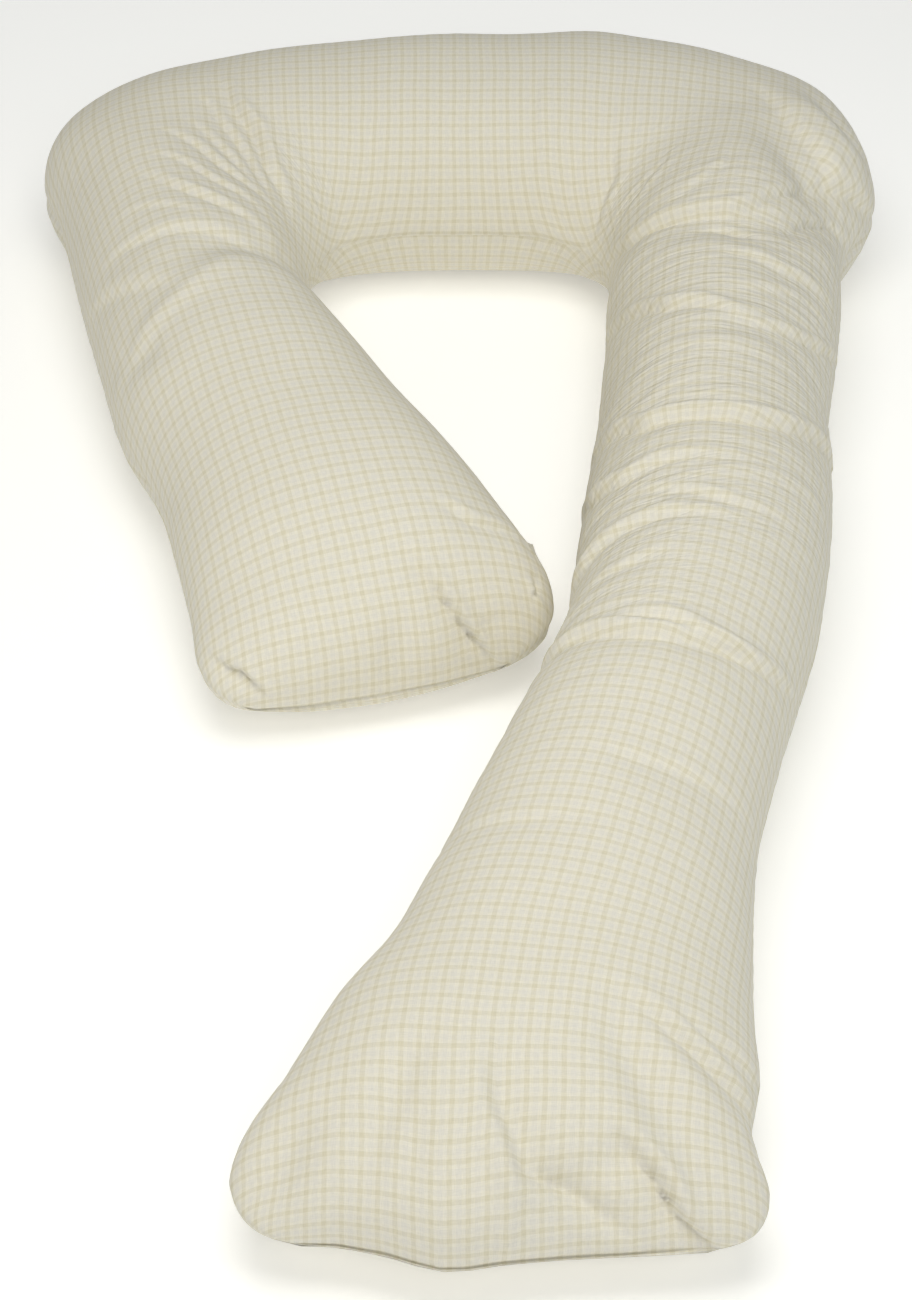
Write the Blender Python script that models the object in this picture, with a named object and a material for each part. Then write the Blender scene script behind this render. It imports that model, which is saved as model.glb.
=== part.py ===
"""A cane-shaped body pillow lying on the floor: long leg with a wide foot, top bar, short leg.

Units are metres, +Z is up. The foot of the long leg points to -Y and the short leg lies at -X.
The origin is on the floor under the middle of the pillow's box.
"""

from collections import namedtuple
from math import cos, exp, hypot, pi, sin, sqrt

import bpy
from mathutils import Vector

# ---------------------------------------------------------------- driving sizes

SEAM_SHARE = 0.45  # height of the edge seam as a share of the crown's height
END_SEAM = 0.046  # height of the seam across both ends
END_LENGTH = 0.200  # stretch over which an end swells from its seam to the full crown
CORNER_RADIUS = 0.045  # rounding, in plan, of the corners at both ends
FOOT_BOW = 0.012  # how far the middle of the foot's end seam bulges out
SHORT_BOW = 0.020  # and that of the short leg's
BOW_POWER = 1.5  # above 1: the bulge holds at the very end and then drops faster
BOW_STEP = 0.010  # step along the pillow that gives the direction of the bulge
FLOOR_SINK = 0.006  # how far the round underside would go below the floor, which flattens it

SIDE_POWER = 0.90  # below 1: the upper side is a little fuller than an ellipse, across the leg
CROWN_POWER = 0.92  # below 1: and over its crown
UNDER_POWER = 1.06  # above 1: the underside draws in faster than an ellipse

ROWS = 162  # sections along the pillow
ACROSS = 18  # faces across the upper side, and as many across the underside
END_DENSITY = 2.2  # how much closer the sections lie at the ends than in the middle
END_REACH = 0.10  # and how far in from each end that goes on

CLOTH_COLOUR = (0.74, 0.71, 0.60, 1.0)
CLOTH_ROUGHNESS = 0.9

# ---------------------------------------------------------------- plan of the edge seam

# One row for each section, from the foot up the long leg, over the top and down the short leg.
# The outer seam runs round the outside of the cane, the inner seam round the space between the legs.
# On the plan, x is measured from the middle of the top bar and y from the point where the short leg ends;
# PLAN_CENTRE is the middle of the pillow's box there, which the finished mesh is moved from.
PLAN_CENTRE = (0.0033, 0.1201)
Section = namedtuple("Section", "outer_x outer_y inner_x inner_y crown")
SECTIONS = [
    Section(0.218, -0.602, -0.156, -0.596, 0.152),  # foot, the end seam's corners
    Section(0.215, -0.550, -0.155, -0.545, 0.152),
    Section(0.214, -0.470, -0.126, -0.480, 0.154),
    Section(0.213, -0.400, -0.090, -0.410, 0.156),
    Section(0.218, -0.320, -0.047, -0.340, 0.162),
    Section(0.227, -0.235, -0.020, -0.272, 0.168),
    Section(0.244, -0.155, 0.013, -0.187, 0.174),  # long leg
    Section(0.267, -0.070, 0.046, -0.100, 0.178),
    Section(0.290, 0.020, 0.075, -0.020, 0.180),
    Section(0.305, 0.110, 0.095, 0.075, 0.180),
    Section(0.315, 0.200, 0.105, 0.175, 0.180),
    Section(0.317, 0.293, 0.118, 0.277, 0.180),
    Section(0.329, 0.375, 0.128, 0.376, 0.182),
    Section(0.341, 0.460, 0.133, 0.460, 0.184),
    Section(0.350, 0.550, 0.137, 0.512, 0.188),  # outer corner of the long leg, with its ear
    Section(0.387, 0.650, 0.133, 0.547, 0.188),
    Section(0.354, 0.768, 0.121, 0.572, 0.182),
    Section(0.260, 0.830, 0.100, 0.590, 0.188),
    Section(0.165, 0.850, 0.075, 0.596, 0.196),
    Section(0.075, 0.850, 0.045, 0.600, 0.196),
    Section(0.000, 0.850, 0.000, 0.600, 0.196),  # top bar
    Section(-0.080, 0.840, -0.045, 0.600, 0.194),
    Section(-0.170, 0.830, -0.080, 0.595, 0.190),
    Section(-0.270, 0.810, -0.105, 0.585, 0.186),
    Section(-0.340, 0.765, -0.120, 0.565, 0.184),  # outer corner of the short leg
    Section(-0.380, 0.690, -0.130, 0.540, 0.184),
    Section(-0.360, 0.605, -0.134, 0.512, 0.184),
    Section(-0.337, 0.500, -0.125, 0.465, 0.180),
    Section(-0.311, 0.390, -0.087, 0.390, 0.178),  # short leg
    Section(-0.286, 0.290, -0.038, 0.306, 0.174),
    Section(-0.250, 0.205, 0.005, 0.230, 0.170),
    Section(-0.229, 0.120, 0.042, 0.156, 0.168),
    Section(-0.214, 0.045, 0.070, 0.092, 0.168),
    Section(-0.205, -0.030, 0.073, 0.044, 0.166),  # its end seam's corners
]


def blended(before, start, end, after, gaps, share):
    """One value on the smooth curve through four neighbours that lie the given gaps apart."""
    slope_in = (end - before) / (gaps[0] + gaps[1])
    slope_out = (after - start) / (gaps[1] + gaps[2])
    rise = share * share * (3 - 2 * share)
    lead = share * (1 - share) ** 2
    trail = share * share * (share - 1)
    return start + (end - start) * rise + gaps[1] * (slope_in * lead + slope_out * trail)


def middle(section):
    return (section.outer_x + section.inner_x) / 2, (section.outer_y + section.inner_y) / 2


def stride(first, second):
    """Length between two sections, halfway between that of their middles and that of their outer seams."""
    (ax, ay), (bx, by) = middle(first), middle(second)
    outer = hypot(second.outer_x - first.outer_x, second.outer_y - first.outer_y)
    return (hypot(bx - ax, by - ay) + outer) / 2


STRIDES = [stride(a, b) for a, b in zip(SECTIONS, SECTIONS[1:])]
LENGTH = sum(STRIDES)


def section_at(station):
    """The section at a distance along the pillow."""
    index = 0
    while index < len(STRIDES) - 1 and station > STRIDES[index]:
        station -= STRIDES[index]
        index += 1
    last = len(SECTIONS) - 1
    rows = [SECTIONS[max(0, min(last, index + k))] for k in (-1, 0, 1, 2)]
    gaps = [STRIDES[max(0, min(last - 1, index + k))] for k in (-1, 0, 1)]
    share = station / gaps[1]
    return Section(*(blended(*values, gaps, share) for values in zip(*rows)))


def stations():
    """Distances of the rows along the pillow, closer together at its two ends."""
    steps = 2000
    weights = []
    for k in range(steps):
        from_end = min(k, steps - k) / steps * LENGTH
        weights.append(1 + END_DENSITY * exp(-from_end / END_REACH))
    total = sum(weights)
    found, reached, target = [0.0], 0.0, total / (ROWS - 1)
    for k, weight in enumerate(weights):
        reached += weight
        while reached >= target * len(found) and len(found) < ROWS - 1:
            found.append((k + 1) / steps * LENGTH)
    return found + [LENGTH]


def quarter_round(distance, reach):
    """Rises from 0 at an edge to 1 at its reach, as a quarter of an ellipse does."""
    if distance >= reach:
        return 1.0
    return sqrt(1 - (1 - distance / reach) ** 2)


# ---------------------------------------------------------------- folds of the upper side

# A fold is a crease in the cloth along a line, with the cloth puffed up on the line's left side.
# The lines are (x, y) on the plan, the depth and the width are those of the crease.
Fold = namedtuple("Fold", "depth width line")
LIP_SHARE = 0.55  # height of the puffed side as a share of the crease's depth
CREASE_HALF = 0.8  # half the breadth of the crease, in widths of the fold
LIP_PLACE = 1.4  # how far from the crease the puffed side is highest, in widths of the fold
FOLD_REACH = 4  # beyond as many widths of the fold the cloth is plain
TIP_SHARE = 0.08  # where on half a sine wave a fold's strength starts, and ends, along its line
SEAM_CALM = 3  # how fast the folds grow from nothing at the seam
FOLDS = [
    # left inner corner, a fan of four
    Fold(0.009, 0.016, [(-0.209, 0.679), (-0.178, 0.615), (-0.138, 0.554)]),
    Fold(0.007, 0.016, [(-0.242, 0.590), (-0.197, 0.562), (-0.148, 0.519)]),
    Fold(0.009, 0.018, [(-0.275, 0.526), (-0.225, 0.515), (-0.170, 0.500), (-0.139, 0.505)]),
    Fold(0.006, 0.018, [(-0.292, 0.459), (-0.245, 0.453), (-0.195, 0.456), (-0.149, 0.458)]),
    # right inner corner, a fan of four
    Fold(0.006, 0.015, [(0.131, 0.563), (0.135, 0.587), (0.150, 0.613), (0.176, 0.644)]),
    Fold(0.006, 0.015, [(0.148, 0.525), (0.173, 0.556), (0.210, 0.587)]),
    Fold(0.007, 0.016, [(0.162, 0.480), (0.211, 0.484), (0.267, 0.505), (0.300, 0.532)]),
    Fold(0.010, 0.018, [(0.200, 0.452), (0.250, 0.455), (0.300, 0.475), (0.350, 0.545)]),
    # right outer corner, the hollow beside its ear
    Fold(0.014, 0.028, [(0.292, 0.690), (0.309, 0.620), (0.341, 0.590), (0.375, 0.600)]),
    # long leg, across it
    Fold(0.008, 0.017, [(0.140, 0.340), (0.165, 0.343), (0.205, 0.337), (0.266, 0.328), (0.313, 0.337)]),
    Fold(0.012, 0.018, [(0.122, 0.176), (0.150, 0.175), (0.199, 0.184), (0.248, 0.184), (0.303, 0.205)]),
    Fold(0.006, 0.016, [(0.109, 0.142), (0.148, 0.115), (0.196, 0.118), (0.244, 0.112)]),
    Fold(0.006, 0.016, [(0.100, 0.070), (0.122, 0.059), (0.161, 0.050), (0.208, 0.040)]),
    Fold(0.012, 0.018, [(0.070, -0.090), (0.110, -0.075), (0.150, -0.082), (0.197, -0.103), (0.235, -0.110)]),
    # foot, running to its end seam
    Fold(0.007, 0.018, [(0.030, -0.500), (0.034, -0.566), (0.034, -0.615)]),
    Fold(0.007, 0.022, [(0.150, -0.460), (0.182, -0.505), (0.204, -0.540)]),
    Fold(0.009, 0.016, [(0.120, -0.575), (0.147, -0.600), (0.175, -0.606)]),
]


def across_line(line, x, y):
    """Signed distance of a point to the left of a line, and the share of the line passed there."""
    lengths = [hypot(bx - ax, by - ay) for (ax, ay), (bx, by) in zip(line, line[1:])]
    nearest, found = None, (0.0, 0.0)
    passed = 0.0
    for (ax, ay), (bx, by), length in zip(line, line[1:], lengths):
        along = ((x - ax) * (bx - ax) + (y - ay) * (by - ay)) / length**2
        along = max(0.0, min(1.0, along))
        gap_x, gap_y = x - ax - along * (bx - ax), y - ay - along * (by - ay)
        distance = hypot(gap_x, gap_y)
        if nearest is None or distance < nearest:
            nearest = distance
            side = 1 if (bx - ax) * gap_y - (by - ay) * gap_x >= 0 else -1
            found = (side * distance, (passed + along * length) / sum(lengths))
        passed += length
    return found


def fold_height(x, y):
    """How far the folds lift the cloth above the plain crown, or press it below."""
    height = 0.0
    for fold in FOLDS:
        distance, share = across_line(fold.line, x, y)
        offset = distance / fold.width
        if abs(offset) < FOLD_REACH:
            fade = sin(pi * (TIP_SHARE + (1 - 2 * TIP_SHARE) * share))
            crease = exp(-((offset / CREASE_HALF) ** 2))
            lip = LIP_SHARE * exp(-((offset - LIP_PLACE) ** 2))
            height += fold.depth * fade * (lip - crease)
    return height


def folded(grid):
    """The rows of the upper side with the folds pressed in, each point moved square to the cloth."""
    result = [list(row) for row in grid]
    for row in range(1, len(grid) - 1):
        for step in range(1, len(grid[row]) - 1):
            point = Vector(grid[row][step])
            along = Vector(grid[row + 1][step]) - Vector(grid[row - 1][step])
            across = Vector(grid[row][step + 1]) - Vector(grid[row][step - 1])
            square = along.cross(across).normalized()
            near_seam = min(1.0, SEAM_CALM * sin(pi * step / ACROSS))
            result[row][step] = point + square * fold_height(point.x, point.y) * near_seam
    return result


# ---------------------------------------------------------------- the filled solid


def bent_power(value, power):
    return abs(value) ** power * (1 if value >= 0 else -1)


def row_points(station):
    """The points of one section: the upper side from outer to inner seam, then the underside."""
    section = section_at(station)
    from_end = min(station, LENGTH - station)
    swell = quarter_round(from_end, END_LENGTH)
    outer = (section.outer_x, section.outer_y)
    inner = (section.inner_x, section.inner_y)
    width = hypot(outer[0] - inner[0], outer[1] - inner[1])
    inset = CORNER_RADIUS * (1 - quarter_round(from_end, CORNER_RADIUS)) / width
    seam = END_SEAM + (section.crown * SEAM_SHARE - END_SEAM) * swell
    crown = seam + (section.crown - seam) * swell
    at_foot = station < LENGTH / 2
    further = middle(section_at(station + BOW_STEP if at_foot else station - BOW_STEP))
    outward = Vector(middle(section)) - Vector(further)
    bow = (FOOT_BOW if at_foot else SHORT_BOW) * exp(-((from_end / END_REACH) ** BOW_POWER))
    outward *= bow / outward.length

    def place(share, height):
        share = inset + share * (1 - 2 * inset)
        arch = 4 * share * (1 - share)
        x = outer[0] + (inner[0] - outer[0]) * share + outward.x * arch
        y = outer[1] + (inner[1] - outer[1]) * share + outward.y * arch
        return (x, y, height)

    upper, under = [], []
    for step in range(ACROSS + 1):
        angle = pi * step / ACROSS
        rise = abs(sin(angle)) ** CROWN_POWER
        share = (1 - bent_power(cos(angle), SIDE_POWER)) / 2
        upper.append(place(share, seam + (crown - seam) * rise))
        share = (1 - bent_power(cos(angle), UNDER_POWER)) / 2
        drop = (seam + FLOOR_SINK) * abs(sin(angle)) * swell
        under.append(place(share, max(0.0, seam - drop)))
    return upper, under


def pillow_mesh():
    """The closed mesh of the filled cover: the two sides share the seam all round."""
    rows = [row_points(station) for station in stations()]
    upper_rows = folded([upper for upper, under in rows])
    points, faces = [], []
    upper_index, under_index = [], []
    for number, (upper, (_, under)) in enumerate(zip(upper_rows, rows)):
        upper_index.append(range(len(points), len(points) + ACROSS + 1))
        points.extend(upper)
        if number in (0, len(rows) - 1):
            under_index.append(list(upper_index[-1]))
            continue
        start = len(points)
        points.extend(under[1:-1])
        inside = list(range(start, start + ACROSS - 1))
        under_index.append([upper_index[-1][0]] + inside + [upper_index[-1][-1]])
    for row in range(len(rows) - 1):
        for step in range(ACROSS):
            a, b = upper_index[row], upper_index[row + 1]
            faces.append((a[step], b[step], b[step + 1], a[step + 1]))
            a, b = under_index[row], under_index[row + 1]
            faces.append((a[step + 1], b[step + 1], b[step], a[step]))
    centre_x, centre_y = PLAN_CENTRE
    placed = [(x - centre_x, y - centre_y, z) for x, y, z in points]
    mesh = bpy.data.meshes.new("pillow")
    mesh.from_pydata(placed, [], faces)
    mesh.update()
    return mesh


def cloth_material():
    material = bpy.data.materials.new("check_cotton")
    material.use_nodes = True
    shader = material.node_tree.nodes["Principled BSDF"]
    shader.inputs["Base Color"].default_value = CLOTH_COLOUR
    shader.inputs["Roughness"].default_value = CLOTH_ROUGHNESS
    shader.inputs["Metallic"].default_value = 0.0
    return material


def main():
    for thing in list(bpy.data.objects):
        bpy.data.objects.remove(thing)
    pillow = bpy.data.objects.new("pillow", pillow_mesh())
    pillow.data.materials.append(cloth_material())
    bpy.context.scene.collection.objects.link(pillow)


main()
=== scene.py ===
"""A cane-shaped body pillow of cotton with a small tan and grey check, lying on its back on a pale floor.

Units are metres, +Z is up. The foot of the long leg points to -Y and the short leg lies at -X.
"""

from collections import namedtuple
from math import cos, pi, radians, sin

import bpy
import numpy as np
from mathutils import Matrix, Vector, noise


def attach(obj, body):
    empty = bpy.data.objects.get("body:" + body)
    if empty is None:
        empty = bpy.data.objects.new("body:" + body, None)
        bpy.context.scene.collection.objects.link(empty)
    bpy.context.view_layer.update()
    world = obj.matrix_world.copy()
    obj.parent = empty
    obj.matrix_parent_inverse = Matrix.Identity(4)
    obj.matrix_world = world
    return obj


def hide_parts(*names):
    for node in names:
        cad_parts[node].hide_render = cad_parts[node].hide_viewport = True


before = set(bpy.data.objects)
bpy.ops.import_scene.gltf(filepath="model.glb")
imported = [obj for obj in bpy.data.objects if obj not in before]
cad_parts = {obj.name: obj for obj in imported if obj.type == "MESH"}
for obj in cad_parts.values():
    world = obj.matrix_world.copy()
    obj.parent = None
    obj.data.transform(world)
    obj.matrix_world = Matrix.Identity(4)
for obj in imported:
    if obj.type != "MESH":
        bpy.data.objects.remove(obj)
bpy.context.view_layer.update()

# ================================================================ camera
# A long lens looks down on the pillow from its foot.

AIM = Vector((-0.0033, -0.1201, 0.08))
LOOK_DOWN = radians(39)
CAMERA_DISTANCE = 3.09
LENS_MM = 107.7

camera_data = bpy.data.cameras.new("camera")
camera_data.lens = LENS_MM
camera = bpy.data.objects.new("camera", camera_data)
camera.location = AIM + Vector((0, -cos(LOOK_DOWN), sin(LOOK_DOWN))) * CAMERA_DISTANCE
camera.rotation_euler = (pi / 2 - LOOK_DOWN, 0, 0)
bpy.context.scene.collection.objects.link(camera)
bpy.context.scene.camera = camera
bpy.context.scene.view_settings.view_transform = "Standard"

# ================================================================ floor and light
# A white studio floor that glows a little, a large soft lamp over the middle of the pillow, a second
# behind the camera, weak ones at both sides, warm and cool, and even light all round.

FLOOR_SIDE = 14.0
FLOOR_COLOUR = (0.93, 0.93, 0.92, 1.0)
FLOOR_GLOW = 0.22
FLOOR_ROUGHNESS = 0.8
FLOOR_GLOSS = 0.2
SKY_COLOUR = (0.98, 1.0, 1.0, 1.0)
SKY_STRENGTH = 0.36

# place is measured from the point that the camera aims at
Lamp = namedtuple("Lamp", "name place side watts colour")
LAMPS = [
    Lamp("top_lamp", Vector((-0.05, -0.45, 1.9)), 1.3, 19.5, (1.0, 0.98, 0.92)),
    Lamp("camera_lamp", Vector((0.9, -6.8, 5.8)), 3.5, 172, (1.0, 0.985, 0.94)),
    Lamp("left_lamp", Vector((-3.2, -0.8, 1.6)), 1.6, 3.5, (1.0, 0.88, 0.45)),
    Lamp("right_lamp", Vector((3.2, -0.8, 1.6)), 1.6, 3.0, (0.55, 0.85, 1.0)),
]

half = FLOOR_SIDE / 2
floor_mesh = bpy.data.meshes.new("floor")
corners = [(-half, -half, 0), (half, -half, 0), (half, half, 0), (-half, half, 0)]
floor_mesh.from_pydata(corners, [], [(0, 1, 2, 3)])
floor_paint = bpy.data.materials.new("floor_paint")
floor_paint.use_nodes = True
floor_shader = floor_paint.node_tree.nodes["Principled BSDF"]
floor_shader.inputs["Base Color"].default_value = FLOOR_COLOUR
floor_shader.inputs["Roughness"].default_value = FLOOR_ROUGHNESS
floor_shader.inputs["Specular IOR Level"].default_value = FLOOR_GLOSS
floor_shader.inputs["Emission Color"].default_value = (1.0, 1.0, 1.0, 1.0)
floor_shader.inputs["Emission Strength"].default_value = FLOOR_GLOW
floor_mesh.materials.append(floor_paint)
floor = bpy.data.objects.new("floor", floor_mesh)
bpy.context.scene.collection.objects.link(floor)

for one in LAMPS:
    lamp_data = bpy.data.lights.new(one.name, "AREA")
    lamp_data.size = one.side
    lamp_data.energy = one.watts
    lamp_data.color = one.colour
    lamp = bpy.data.objects.new(one.name, lamp_data)
    lamp.location = AIM + one.place
    lamp.rotation_euler = one.place.to_track_quat("Z", "Y").to_euler()
    lamp.visible_camera = False
    bpy.context.scene.collection.objects.link(lamp)

sky = bpy.data.worlds.new("sky")
sky.use_nodes = True
sky.node_tree.nodes["Background"].inputs["Color"].default_value = SKY_COLOUR
sky.node_tree.nodes["Background"].inputs["Strength"].default_value = SKY_STRENGTH
bpy.context.scene.world = sky

# ================================================================ pillow: cut and filling
# Two cotton panels, cut in the cane shape and sewn together all round, are filled until they stand
# up in a soft crown. One row of the table is one section across the pillow, from the foot up the
# long leg, over the top and down the short leg.

# The seams' places were fitted to the pillow's outline in the photo.
# turn: how far the threads that run up the cloth are turned to the left there, in degrees
# spare: cloth gathered along the pillow there, as a share of its length
Section = namedtuple("Section", "outer_x outer_y inner_x inner_y crown turn spare")
SECTIONS = [
    Section(0.222, -0.602, -0.157, -0.596, 0.152, -1, 0.00),  # foot, the end seam's corners
    Section(0.216, -0.560, -0.157, -0.552, 0.152, -1, 0.00),
    Section(0.207, -0.520, -0.148, -0.520, 0.153, -2, 0.01),
    Section(0.214, -0.470, -0.126, -0.480, 0.154, -5, 0.01),
    Section(0.213, -0.400, -0.090, -0.410, 0.156, -10, 0.01),
    Section(0.218, -0.320, -0.047, -0.340, 0.162, -14, 0.02),
    Section(0.227, -0.235, -0.020, -0.272, 0.168, -14, 0.03),
    Section(0.244, -0.155, 0.013, -0.187, 0.174, -13, 0.04),  # long leg
    Section(0.267, -0.070, 0.046, -0.100, 0.178, -12, 0.06),
    Section(0.290, 0.020, 0.075, -0.020, 0.180, -10, 0.08),
    Section(0.305, 0.110, 0.095, 0.075, 0.180, -8, 0.10),
    Section(0.315, 0.200, 0.105, 0.175, 0.180, -6, 0.10),
    Section(0.317, 0.293, 0.118, 0.277, 0.180, -4, 0.10),
    Section(0.329, 0.375, 0.128, 0.376, 0.182, -4, 0.10),
    Section(0.341, 0.460, 0.133, 0.460, 0.184, -5, 0.08),
    Section(0.350, 0.550, 0.137, 0.512, 0.188, -7, 0.05),  # outer corner of the long leg, with its ear
    Section(0.387, 0.650, 0.133, 0.547, 0.188, -7, 0.03),
    Section(0.362, 0.772, 0.121, 0.572, 0.182, -5, 0.02),
    Section(0.260, 0.830, 0.100, 0.590, 0.188, -3, 0.01),
    Section(0.165, 0.850, 0.075, 0.596, 0.196, -1, 0.01),
    Section(0.075, 0.850, 0.045, 0.600, 0.196, 0, 0.01),
    Section(0.000, 0.850, 0.000, 0.600, 0.196, 0, 0.01),  # top bar
    Section(-0.080, 0.840, -0.045, 0.600, 0.194, 0, 0.01),
    Section(-0.170, 0.830, -0.080, 0.595, 0.190, 1, 0.01),
    Section(-0.270, 0.810, -0.105, 0.585, 0.186, 3, 0.01),
    Section(-0.346, 0.768, -0.120, 0.565, 0.184, 6, 0.02),  # outer corner of the short leg
    Section(-0.383, 0.692, -0.130, 0.540, 0.184, 9, 0.02),
    Section(-0.360, 0.605, -0.134, 0.512, 0.184, 12, 0.02),
    Section(-0.337, 0.500, -0.125, 0.465, 0.180, 13, 0.02),
    Section(-0.311, 0.390, -0.087, 0.390, 0.178, 14, 0.02),  # short leg
    Section(-0.286, 0.290, -0.038, 0.306, 0.174, 14, 0.01),
    Section(-0.250, 0.205, 0.005, 0.230, 0.170, 14, 0.01),
    Section(-0.229, 0.120, 0.046, 0.156, 0.168, 14, 0.01),
    Section(-0.214, 0.045, 0.077, 0.092, 0.168, 14, 0.01),
    Section(-0.204, -0.030, 0.078, 0.044, 0.166, 14, 0.00),  # its end seam's corners
]
PLAN_CENTRE = (0.0033, 0.1201)  # the middle of the pillow's box, in the table's coordinates

SEAM_SHARE = 0.41  # height of the edge seam as a share of the crown's height
END_SEAM = 0.044  # height of the seam across both ends
END_LENGTH = 0.200  # stretch over which an end swells from its seam to the full crown
CORNER_RADIUS = 0.045  # rounding, in plan, of the corners at both ends
UNDER_LENGTH = 0.140  # stretch over which the foot's underside comes down to the floor from its seam
BOW_REACH = 0.10  # how far in from an end the bulge of its seam goes on
BOW_POWER = 1.5  # above 1: the bulge holds at the very end and then drops faster
FLOOR_SINK = 0.006  # how far the round underside would go below the floor, which flattens it
SIDE_POWER = 0.90  # below 1: the upper side is a little fuller than an ellipse, across the leg
CROWN_POWER = 0.92  # below 1: and over its crown
UNDER_POWER = 1.06  # above 1: the underside draws in faster than an ellipse

# How far the end seams bulge out, at shares of the way from the outer to the inner corner. Where the
# foot's pleats end, its seam hangs down in a lobe.
EdgePoint = namedtuple("EdgePoint", "share out")
FOOT_EDGE = [
    EdgePoint(0.00, 0.002), EdgePoint(0.15, 0.005), EdgePoint(0.24, 0.008), EdgePoint(0.39, 0.013),
    EdgePoint(0.50, 0.018), EdgePoint(0.57, 0.024), EdgePoint(0.62, 0.025), EdgePoint(0.66, 0.020),
    EdgePoint(0.72, 0.011), EdgePoint(0.80, 0.004), EdgePoint(0.92, 0.003), EdgePoint(1.00, 0.002),
]
SHORT_EDGE = [
    EdgePoint(0.00, 0.002), EdgePoint(0.12, 0.012), EdgePoint(0.30, 0.020), EdgePoint(0.50, 0.022),
    EdgePoint(0.70, 0.019), EdgePoint(0.88, 0.012), EdgePoint(1.00, 0.004),
]
SHORT_TUCK = 0.007  # how far the filling hangs over the short leg's end seam
TUCK_REACH = 0.014  # stretch over which it does

ROWS = 781  # sections of the mesh along the pillow
UPPER_FACES = 100  # faces across the upper panel
UNDER_FACES = 20  # and across the under panel
SEAM_CROWDING = 0.35  # how much closer the faces lie at the seams, from 0 for evenly to 1
FINE_STEPS = 20001  # steps along the pillow that the rows are spaced out by
ANGLE_STEPS = 361  # steps across it that the faces are spaced out by

plan = np.array(SECTIONS)
outer_plan, inner_plan = plan[:, 0:2], plan[:, 2:4]
middle_strides = np.linalg.norm(np.diff((outer_plan + inner_plan) / 2, axis=0), axis=1)
outer_strides = np.linalg.norm(np.diff(outer_plan, axis=0), axis=1)
STRIDES = (middle_strides + outer_strides) / 2
MARKS = np.concatenate([[0.0], np.cumsum(STRIDES)])
LENGTH = MARKS[-1]


def along_pillow(column, station):
    """One column of the table at distances along the pillow, on a smooth curve through its rows."""
    last = len(column) - 1
    index = np.clip(np.searchsorted(MARKS, station, side="right") - 1, 0, last - 1)
    before, start, end, after = (column[np.clip(index + k, 0, last)] for k in (-1, 0, 1, 2))
    gap_in, gap, gap_out = (STRIDES[np.clip(index + k, 0, last - 1)] for k in (-1, 0, 1))
    slope_in = (end - before) / (gap_in + gap)
    slope_out = (after - start) / (gap + gap_out)
    share = (station - MARKS[index]) / gap
    rise = share**2 * (3 - 2 * share)
    lead = share * (1 - share) ** 2
    trail = share**2 * (share - 1)
    return start + (end - start) * rise + gap * (slope_in * lead + slope_out * trail)


def quarter_round(distance, reach):
    """Rises from 0 at an edge to 1 at its reach, as a quarter of an ellipse does."""
    short = 1 - np.clip(distance / reach, 0, 1)
    return np.sqrt(1 - short**2)


def end_heights(station):
    """Height of the edge seam and of the crown at distances along the pillow."""
    full = along_pillow(plan[:, 4], station)
    swell = quarter_round(np.minimum(station, LENGTH - station), END_LENGTH)
    seam = END_SEAM + (full * SEAM_SHARE - END_SEAM) * swell
    return seam, seam + (full - seam) * swell, swell


# The rows lie evenly over the crown, so they crowd together where it drops to the end seams.
fine_station = np.linspace(0, LENGTH, FINE_STEPS)
fine_crown = end_heights(fine_station)[1]
over_crown = np.concatenate([[0.0], np.cumsum(np.hypot(np.diff(fine_station), np.diff(fine_crown)))])
row_over = np.linspace(0, over_crown[-1], ROWS)
station = np.interp(row_over, over_crown, fine_station)
from_end = np.minimum(station, LENGTH - station)
seam, crown, swell = end_heights(station)
outer, inner = (
    np.stack([along_pillow(plan[:, k], station) for k in pair], axis=1) for pair in ((0, 1), (2, 3))
)
width = np.linalg.norm(outer - inner, axis=1)
inset = CORNER_RADIUS * (1 - quarter_round(from_end, CORNER_RADIUS)) / width
spine = (outer + inner) / 2
run = np.gradient(spine, axis=0)
run /= np.linalg.norm(run, axis=1, keepdims=True)
at_foot = station < LENGTH / 2
bow_fade = np.exp(-((from_end / BOW_REACH) ** BOW_POWER))
under_swell = np.where(at_foot, 1 - (1 - np.clip(from_end / UNDER_LENGTH, 0, 1)) ** 2, swell)
from_end_over = np.minimum(row_over, row_over[-1] - row_over)
tuck_depth = np.where(at_foot, 0.0, SHORT_TUCK)
upper_tuck = tuck_depth * np.exp(-((from_end_over / TUCK_REACH) ** 2))
under_tuck = tuck_depth * bow_fade


def bent(values, power):
    """Values from -1 to 1, bent by a power and keeping their signs."""
    return np.abs(values) ** power * np.sign(values)


def pushed_out(row, share, tuck):
    """How far the points of a row lie beyond its straight section, away from the middle of the leg."""
    edge = FOOT_EDGE if at_foot[row] else SHORT_EDGE
    bulge = np.interp(share, [point.share for point in edge], [point.out for point in edge])
    outward = -run[row] if at_foot[row] else run[row]
    return outward * (bulge * bow_fade[row] - tuck)[:, None]


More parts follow.
